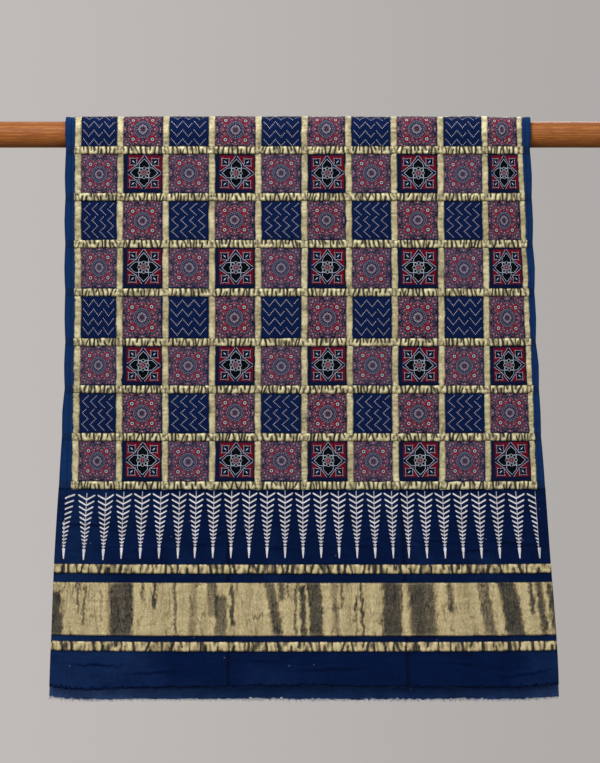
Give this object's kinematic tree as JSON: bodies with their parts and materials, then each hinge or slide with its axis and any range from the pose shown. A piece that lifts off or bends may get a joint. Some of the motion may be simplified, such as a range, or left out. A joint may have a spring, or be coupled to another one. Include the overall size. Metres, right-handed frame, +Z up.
{
  "type": "ajrakh patchwork cloth folded over a round wooden rod",
  "caption": "Block-printed patchwork cloth with gold strips and navy end panels, folded in half over a plain round wooden rod.",
  "frame": {"origin": "middle of the rod's axis", "axes": "+X along the rod, +Z up, the cloth's front half on the -Y side"},
  "size_m": [1.2, 0.0624, 1.1084],
  "materials": {
    "wood": "oiled, satin, fine straight grain",
    "patchwork": "block-printed cotton squares with gold strips",
    "border_blue": "plain woven cotton, matt",
    "navy_print": "indigo-dyed cotton with white resist-printed leaf spikes",
    "zari_gold": "crinkled metallic zari tissue"
  },
  "bodies": {
    "root": {"rod": "wood", "patchwork_field": "patchwork", "side_border_left": "border_blue", "side_border_right": "border_blue", "end_panel_front": "navy_print", "end_panel_back": "navy_print", "upper_band_front": "zari_gold", "wide_band_front": "zari_gold", "lower_band_front": "zari_gold", "upper_band_back": "zari_gold", "wide_band_back": "zari_gold", "lower_band_back": "zari_gold"}
  },
  "joints": []
}
